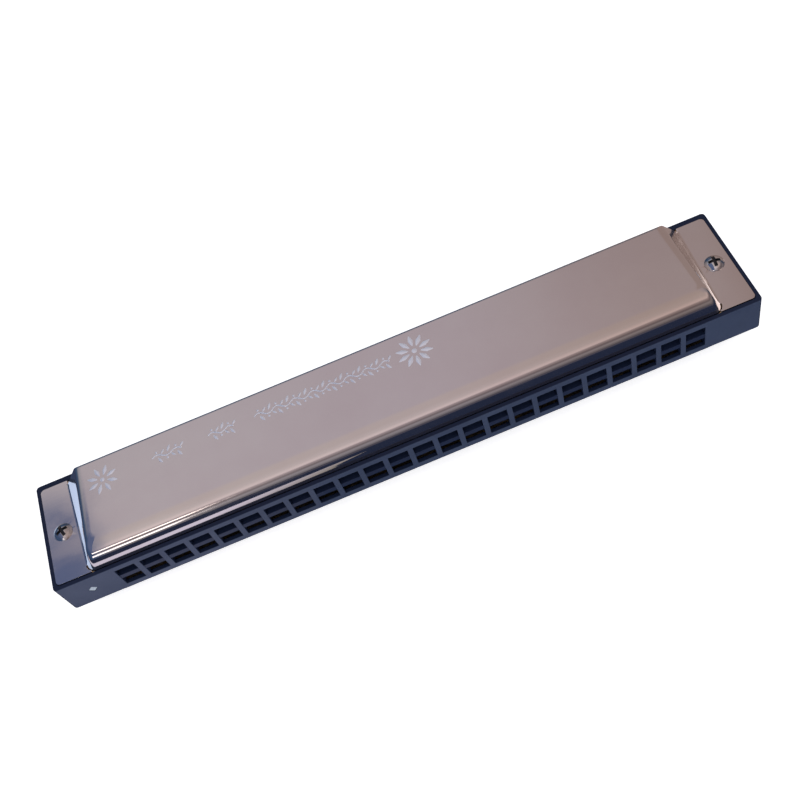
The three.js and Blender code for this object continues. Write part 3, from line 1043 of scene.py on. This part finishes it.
def make_ornament(material):
    """A band of pressed leaves and beads along the bass half of the upper cover."""
    plan = OrnamentPlan()
    plan.rosette(-71.0 * MM, BAND_Y, 8, 1.45)
    for x_start, x_end, spacing, swing in VINES:
        plan.vine(x_start * MM, x_end * MM, BAND_Y, spacing * MM, swing * MM)
    plan.rosette(10.0 * MM, BAND_Y, 10, 1.7)
    ornament = grow("cover_ornament", plan.mesh(), build_ornament_tree(), {"Material": material})
    shade(ornament, 60.0)
    keep(ornament, "cover_nickel")


# ---- Rivets and nails ----
def build_studs_tree():
    """Puts a small round-headed stud on each point of the seed mesh."""
    group, given = new_group(
        "studs",
        "GeometryNodeTree",
        {
            "Geometry": ("geometry", None),
            "Radius": ("number", RIVET_RADIUS),
            "Length": ("number", RIVET_LENGTH),
            "Dome": ("number", RIVET_DOME),
            "Material": ("material", None),
        },
        {"Geometry": ("geometry", None)},
    )
    sizes = {"Vertices": 12, "Radius": 1.0, "Depth": 2.0, "Side Segments": 1, "Fill Segments": 3}
    drum = output_of(group, "GeometryNodeMeshCylinder", sizes, fill_type="TRIANGLE_FAN")
    x, y, z = parts_of(group, output_of(group, "GeometryNodeInputPosition"))
    level = {0: vector_of(group, x, y, 0.0)}
    from_axis = add_node(group, "ShaderNodeVectorMath", level, operation="LENGTH").outputs["Value"]
    crown = calculate(group, "SUBTRACT", 1.0, calculate(group, "POWER", from_axis, 2.0))
    half_length = calculate(group, "MULTIPLY", given["Length"], 0.5)
    flat_half = calculate(group, "SUBTRACT", half_length, given["Dome"])
    half = calculate(group, "MULTIPLY_ADD", crown, given["Dome"], flat_half)
    stud_x = calculate(group, "MULTIPLY", x, given["Radius"])
    stud_y = calculate(group, "MULTIPLY", y, given["Radius"])
    stud_z = calculate(group, "MULTIPLY", calculate(group, "SIGN", z), half)
    shape = {"Geometry": drum, "Position": vector_of(group, stud_x, stud_y, stud_z)}
    stud = output_of(group, "GeometryNodeSetPosition", shape)
    placed = output_of(group, "GeometryNodeInstanceOnPoints", {"Points": given["Geometry"], "Instance": stud})
    end_tree(group, placed, given["Material"])
    return group


def make_stud_row(name, places, sizes, material):
    """One piece of studs at the given places, with the given radius, length and dome."""
    radius, length, dome = sizes
    seed = bpy.data.meshes.new(f"{name}_places")
    seed.from_pydata(places, [], [])
    values = {"Radius": radius, "Length": length, "Dome": dome, "Material": material}
    row = grow(name, seed, STUDS, values)
    shade(row, 50.0)
    keep(row, "reed_brass")


def make_studs(brass, steel):
    """A rivet through the root of every reed, and a row of nails along the back edge of each plate."""
    plate_middle = (plate_low.z + plate_high.z) / 2
    rivets = []
    for joint in frame["joints"]:
        x, y, z = joint["pos_m"]
        plate_z = plate_middle if z > MIDDLE else 2 * MIDDLE - plate_middle
        rivets.append((x, y, (z + plate_z) / 2))
    make_stud_row("reed_rivets", rivets, (RIVET_RADIUS, RIVET_LENGTH, RIVET_DOME), brass)

    nail_y = plate_high.y - NAIL_INSET
    span = plate_high.x - NAIL_END_INSET
    nails = []
    for index in range(NAILS_PER_PLATE):
        x = -span + 2 * span * index / (NAILS_PER_PLATE - 1)
        for z in (plate_high.z - NAIL_SUNK, 2 * MIDDLE - plate_high.z + NAIL_SUNK):
            nails.append((x, nail_y, z))
    make_stud_row("plate_nails", nails, (NAIL_RADIUS, NAIL_LENGTH, NAIL_DOME), steel)


# ---- Screws and nuts ----
HEAD_HEIGHT = screw_high.z - TAB_LEVEL - HEAD_GAP


def screw_blank():
    """A turned screw: shank, flat seat at level 0, rounded rim and domed head."""
    tip = screw_low.z - screw_high.z + HEAD_HEIGHT
    dome_radius = (HEAD_RADIUS**2 + HEAD_HEIGHT**2) / (2 * HEAD_HEIGHT)
    dome_centre = HEAD_HEIGHT - dome_radius
    rise = math.asin(min(1.0, HEAD_RADIUS / dome_radius)) * DOME_SHARE
    profile = [(0, tip), (SHANK_RADIUS - TIP_BEVEL, tip), (SHANK_RADIUS, tip + TIP_BEVEL)]
    profile += [(SHANK_RADIUS, 0.0), (HEAD_RADIUS - RIM_INSET, 0.0), (HEAD_RADIUS, RIM_HEIGHT)]
    for step in range(1, DOME_STEPS):
        angle = rise * (1 - step / DOME_STEPS)
        profile.append((dome_radius * math.sin(angle), dome_centre + dome_radius * math.cos(angle)))
    profile.append((0, HEAD_HEIGHT))
    return mesh_from("screw_blank", lathe(profile, 40))


def build_pair_tree():
    """Sets one copy of the seed mesh at each end, after cutting a cross into its top."""
    group, given = new_group(
        "pair_at_the_ends",
        "GeometryNodeTree",
        {
            "Geometry": ("geometry", None),
            "Reach": ("number", SCREW_X),
            "Place Y": ("number", SCREW_Y),
            "Level": ("number", 0.0),
            "Turn": ("number", SCREW_TURN),
            "Cross Length": ("number", CROSS_LENGTH),
            "Cross Width": ("number", CROSS_WIDTH),
            "Cross Level": ("number", 0.0),
            "Material": ("material", None),
        },
        {"Geometry": ("geometry", None)},
    )
    cross_z = calculate(group, "ADD", given["Cross Level"], CROSS_CUTTER_HEIGHT / 2)
    centre = vector_of(group, 0.0, 0.0, cross_z)
    arms = []
    for width, depth in (("Cross Length", "Cross Width"), ("Cross Width", "Cross Length")):
        size = vector_of(group, given[width], given[depth], CROSS_CUTTER_HEIGHT)
        arms.append(moved_to(group, output_of(group, "GeometryNodeMeshCube", {"Size": size}), centre))
    cut = cut_away(group, given["Geometry"], arms)
    start_x = calculate(group, "MULTIPLY", given["Reach"], -1.0)
    ends = {
        "Count": 2,
        "Start Location": vector_of(group, start_x, given["Place Y"], given["Level"]),
        "Offset": vector_of(group, calculate(group, "MULTIPLY", given["Reach"], 2.0), 0.0, 0.0),
    }
    places = output_of(group, "GeometryNodeMeshLine", ends)
    index = output_of(group, "GeometryNodeInputIndex")
    turn = calculate(group, "MULTIPLY_ADD", index, TURN_STEP, given["Turn"])
    copies = {"Points": places, "Instance": cut, "Rotation": vector_of(group, 0.0, 0.0, turn)}
    end_tree(group, output_of(group, "GeometryNodeInstanceOnPoints", copies), given["Material"])
    return group


def nut_blank():
    """A six-sided nut with rounded-off corners and a bore, standing on level 0."""
    height = nut_high.z - nut_low.z
    flat_reach = NUT_RADIUS * math.cos(math.radians(30))
    bore = SHANK_RADIUS + NUT_CLEARANCE
    profile = (
        (bore, BORE_BEVEL),
        (bore + BORE_BEVEL_WIDTH, 0.0),
        (flat_reach, 0.0),
        (NUT_RADIUS, NUT_BEVEL),
        (NUT_RADIUS, height - NUT_BEVEL),
        (flat_reach, height),
        (bore + BORE_BEVEL_WIDTH, height),
        (bore, height - BORE_BEVEL),
    )
    solid = bmesh.new()
    angles = [2 * math.pi * step / NUT_STEPS for step in range(NUT_STEPS)]
    from_flats = [(a + math.pi / 6) % (math.pi / 3) - math.pi / 6 for a in angles]
    rows = []
    for limit, z in profile:
        reaches = [min(limit, flat_reach / math.cos(off)) for off in from_flats]
        rows.append(row_at(solid, [(r * math.cos(a), r * math.sin(a)) for r, a in zip(reaches, angles)], z))
    for lower, upper in zip(rows, [*rows[1:], rows[0]]):
        ring(solid, lower, upper)
    bmesh.ops.recalc_face_normals(solid, faces=solid.faces)
    return mesh_from("nut_blank", solid)


def make_fixings(steel, recess_shade):
    """A domed screw above each end, with its cross recess painted near black as painted shade, and its nut
    below.
    """
    tree = build_pair_tree()
    heights = {"Level": screw_high.z - HEAD_HEIGHT, "Cross Level": HEAD_HEIGHT - CROSS_DEPTH}
    screws = grow("end_screws", screw_blank(), tree, {**heights, "Material": steel})
    simplify(screws)
    soften(screws, RECESS_SOFTNESS)
    # The walls and floor of each cross recess take the near-black fill: painted shade
    screws.data.materials.append(recess_shade)
    shade_slot = len(screws.data.materials) - 1
    recess_top = screw_high.z - RECESS_LIP
    for face in screws.data.polygons:
        x, y, z = face.center
        from_axis = math.hypot(abs(x) - SCREW_X, y - SCREW_Y)
        in_recess = from_axis < CROSS_LENGTH / 2 - RECESS_MARGIN and TAB_LEVEL < z < recess_top
        if in_recess and (face.normal.z < UPRIGHT or z < recess_top - DEEP_IN_RECESS):
            face.material_index = shade_slot
    shade(screws)
    keep(screws, "screw_steel", "bass_end_screw", "treble_end_screw")
    without_cross = {"Level": nut_low.z, "Cross Level": CLEAR_OF_NUT, "Turn": NUT_TURN}
    nuts = grow("end_nuts", nut_blank(), tree, {**without_cross, "Material": steel})
    shade(nuts)
    keep(nuts, "screw_steel", "bass_end_nut", "treble_end_nut")


# ---- Plates and reeds, which keep their CAD shape ----
def paint_cad_nodes(shaded_plate_brass, reed_metal):
    """The plates and reeds keep their CAD shape, and get brass, the plates a darker one as painted shade."""
    for name, node in frame["nodes"].items():
        if "reed" in name:
            node.data.materials.clear()
            node.data.materials.append(shaded_plate_brass if name.endswith("plate") else reed_metal)


# ---- Studio ----
FLOOR_HALF_SIZE = 2.5
FLOOR_DROP = 0.05 * MM
FLOOR_GLOW = 0.62
FLOOR_WHITE = (0.9, 0.9, 0.9, 1)
WHITE = (1.0, 1.0, 1.0, 1)
PAPER_EDGE = -36.0 * MM
PAPER_FRONT = -50.0 * MM
PAPER_BACK = -17.0 * MM
PAPER_SHINE = 35.0 * MM
PAPER_SLANT = 0.5
TREBLE_CLOTH = 72.0 * MM
FAR_TABLE = -150.0 * MM
FAR_TABLE_EDGE = -70.0 * MM
NEAR_TABLE_COLOUR = (0.022, 0.031, 0.069, 1)
FAR_TABLE_COLOUR = (0.09, 0.085, 0.12, 1)
NAVY_CLOTH = (0.045, 0.065, 0.13, 1)
WARM_CLOTH = (0.38, 0.295, 0.28, 1)
BRIGHT_PAPER = (0.83, 0.79, 0.97, 1)
DULL_PAPER = (0.33, 0.30, 0.28, 1)
LOW_CURTAIN = (0.05, 0.095, 0.21, 1)
HIGH_CURTAIN = (0.13, 0.17, 0.32, 1)
BASS_GLARE = (1.0, 1.33, 1.9, 1)
TREBLE_GLARE = (2.0, 1.8, 1.8, 1)
EVEN_SKY = (1.0, 1.0, 1.04)
# The room by height, from straight down at 0 to straight up at 1
ROOM_BEHIND = (
    (0.0, (0.30, 0.30, 0.34)),
    (0.5, (0.045, 0.085, 0.18)),
    (0.62, (0.06, 0.10, 0.19)),
    (0.80, (0.42, 0.40, 0.47)),
    (0.92, (0.57, 0.50, 0.58)),
    (1.0, (0.62, 0.53, 0.56)),
)
ROOM_IN_FRONT = (
    (0.0, (0.30, 0.30, 0.34)),
    (0.35, (0.018, 0.026, 0.058)),
    (0.47, (0.05, 0.05, 0.07)),
    (0.548, (0.23, 0.21, 0.25)),
    (0.634, (0.35, 0.32, 0.37)),
    (0.715, (0.23, 0.19, 0.22)),
    (0.79, (0.40, 0.33, 0.37)),
    (0.857, (0.84, 0.70, 0.75)),
    (0.955, (0.66, 0.57, 0.61)),
    (1.0, (0.62, 0.53, 0.56)),
)
# From the bass side at 0 to the treble side at 1
TINT_ACROSS = (
    (0.36, (1.06, 1.12, 1.06)),
    (0.5, (0.96, 0.98, 0.95)),
    (0.64, (0.78, 0.73, 0.64)),
    (1.0, (0.7, 0.66, 0.6)),
)


def build_floor():
    """A plain white floor. In reflections it is a dark table with a sheet of paper by the bass end."""
    solid = bmesh.new()
    bmesh.ops.create_grid(solid, x_segments=1, y_segments=1, size=FLOOR_HALF_SIZE)
    floor = link_piece("floor", mesh_from("floor", solid))
    floor.location.z = cad_low.z - FLOOR_DROP
    material, tree, shader, coordinate = new_material("white_floor")
    x, y = parts_of(tree, coordinate)[:2]
    slant = calculate(tree, "MULTIPLY_ADD", y, PAPER_SLANT, x)
    by_the_bass_end = calculate(tree, "LESS_THAN", slant, PAPER_EDGE)
    near = calculate(tree, "GREATER_THAN", y, PAPER_FRONT)
    in_depth = calculate(tree, "MULTIPLY", near, calculate(tree, "LESS_THAN", y, PAPER_BACK))
    on_paper = calculate(tree, "MULTIPLY", by_the_bass_end, in_depth)
    cloth = mix_colours(tree, calculate(tree, "GREATER_THAN", x, TREBLE_CLOTH), NAVY_CLOTH, WARM_CLOTH)
    distant = calculate(tree, "LESS_THAN", y, FAR_TABLE)
    lighter = calculate(tree, "MULTIPLY", distant, calculate(tree, "GREATER_THAN", x, FAR_TABLE_EDGE))
    front_table = mix_colours(tree, lighter, NEAR_TABLE_COLOUR, FAR_TABLE_COLOUR)
    table = mix_colours(tree, calculate(tree, "GREATER_THAN", y, 0.0), front_table, cloth)
    shine = map_range(tree, slant, PAPER_EDGE - PAPER_SHINE, PAPER_EDGE)
    reflected = mix_colours(tree, on_paper, table, mix_colours(tree, shine, BRIGHT_PAPER, DULL_PAPER))
    white = {"Base Color": FLOOR_WHITE, "Roughness": 0.9, "Specular IOR Level": 0.0}
    feed(tree, shader, {**white, "Emission Color": WHITE, "Emission Strength": FLOOR_GLOW})
    in_mirror = output_of(tree, "ShaderNodeEmission", {"Color": reflected})
    glossy = add_node(tree, "ShaderNodeLightPath").outputs["Is Glossy Ray"]
    chosen = output_of(tree, "ShaderNodeMixShader", {0: glossy, 1: shader.outputs[0], 2: in_mirror})
    tree.links.new(chosen, tree.nodes["Material Output"].inputs[0])
    floor.data.materials.append(material)


def softbox(name, place, width, height, power, colour):
    """A soft lamp that faces the instrument."""
    light = bpy.data.lights.new(name, "AREA")
    light.shape = "RECTANGLE"
    light.size = width
    light.size_y = height
    light.energy = power
    light.color = colour
    box = bpy.data.objects.new(name, light)
    box.location = place
    box.rotation_euler = (Vector((0.0, 0.0, MIDDLE)) - Vector(place)).to_track_quat("-Z", "Y").to_euler()
    scene.collection.objects.link(box)


def colour_ramp(tree, height, stops):
    """A colour for each value from 0 to 1."""
    ramp = tree.nodes.new("ShaderNodeValToRGB")
    ramp.color_ramp.interpolation = "EASE"
    elements = ramp.color_ramp.elements
    while len(elements) < len(stops):
        elements.new(0.5)
    for element, (position, colour) in zip(elements, stops):
        element.position = position
        element.color = (*colour, 1)
    tree.links.new(height, ramp.inputs[0])
    return ramp.outputs[0]


def build_world():
    """White to the eye, an even white sky for soft light, and a darker room in the reflections."""
    world = bpy.data.worlds.new("studio")
    scene.world = world
    world.use_nodes = True
    tree = world.node_tree
    tree.nodes.clear()
    x, y, z = parts_of(tree, add_node(tree, "ShaderNodeTexCoord").outputs["Generated"])
    height = calculate(tree, "MULTIPLY_ADD", z, 0.5, 0.5)
    back = colour_ramp(tree, height, ROOM_BEHIND)
    front = colour_ramp(tree, height, ROOM_IN_FRONT)
    room = mix_colours(tree, map_range(tree, y, -0.15, 0.15, steps="SMOOTHSTEP"), front, back)
    tint = colour_ramp(tree, calculate(tree, "MULTIPLY_ADD", x, 0.5, 0.5), TINT_ACROSS)
    room = output_of(tree, "ShaderNodeVectorMath", {0: room, 1: tint}, operation="MULTIPLY")

    curtain = calculate(tree, "MULTIPLY", map_range(tree, x, -0.284, -0.298), map_range(tree, y, 0.56, 0.54))
    cloth = mix_colours(tree, map_range(tree, z, 0.45, 0.75), LOW_CURTAIN, HIGH_CURTAIN)
    room = mix_colours(tree, curtain, room, cloth)
    warm_wall = calculate(tree, "MULTIPLY", map_range(tree, x, 0.29, 0.33), map_range(tree, y, 0.3, 0.4))
    room = mix_colours(tree, warm_wall, room, WARM_CLOTH)

    # Lamps at both ends, which only show in the second of two reflections, as in the end walls.
    path = add_node(tree, "ShaderNodeLightPath").outputs
    second_bounce = calculate(tree, "GREATER_THAN", path["Glossy Depth"], 1.5)
    steep = calculate(tree, "MULTIPLY", second_bounce, map_range(tree, z, 0.32, 0.42))
    bass_lamp = calculate(tree, "MULTIPLY", steep, map_range(tree, x, -0.38, -0.48))
    room = mix_colours(tree, bass_lamp, room, BASS_GLARE)
    treble_lamp = calculate(tree, "MULTIPLY", map_range(tree, x, 0.38, 0.48), map_range(tree, y, 0.53, 0.50))
    room = mix_colours(tree, calculate(tree, "MULTIPLY", steep, treble_lamp), room, TREBLE_GLARE)

    from_the_front = {0: EVEN_SKY, "Scale": map_range(tree, y, 1.0, -1.0, 0.45, 1.1)}
    even = output_of(tree, "ShaderNodeVectorMath", from_the_front, operation="SCALE")
    for_light = mix_colours(tree, path["Is Glossy Ray"], even, room)
    seen = mix_colours(tree, path["Is Camera Ray"], for_light, WHITE)
    background = output_of(tree, "ShaderNodeBackground", {"Color": seen, "Strength": 1.0})
    add_node(tree, "ShaderNodeOutputWorld", {0: background})


def build_studio():
    build_floor()
    build_world()
    softbox("high_window", (-0.42, -0.82, 0.58), 0.36, 0.08, 0.24, (1.0, 0.90, 0.86))
    softbox("low_window", (-0.44, -0.95, 0.27), 0.34, 0.15, 0.31, (1.0, 0.94, 0.92))
    scene.view_settings.view_transform = "Standard"


# ---- Build ----
place_camera()
POLISH = build_polish_group()
MOTTLE = build_mottle_group()
STUDS = build_studs_tree()
nickel = polished_metal("polished_nickel", *NICKEL, wave=0.00001)
# Paler, bluer half-metal for the pressed relief: painted highlight
satin_highlight = polished_metal("satin_relief_highlight", *SATIN_HIGHLIGHT, metallic=0.5)
shaded_plate_brass = polished_metal("shaded_plate_brass", *SHADED_PLATE_BRASS)
reed_metal = polished_metal("reed_brass", *REED_BRASS)
steel = polished_metal("screw_steel", *STEEL)
make_comb(moulded_plastic())
make_mark_paint(painted("mark_paint", MARK_PAINT))
make_cover("upper", nickel)
make_cover("lower", nickel)
make_ornament(satin_highlight)
make_studs(reed_metal, steel)
make_fixings(steel, painted("recess_painted_shade", RECESS_SHADE))
paint_cad_nodes(shaded_plate_brass, reed_metal)
build_studio()
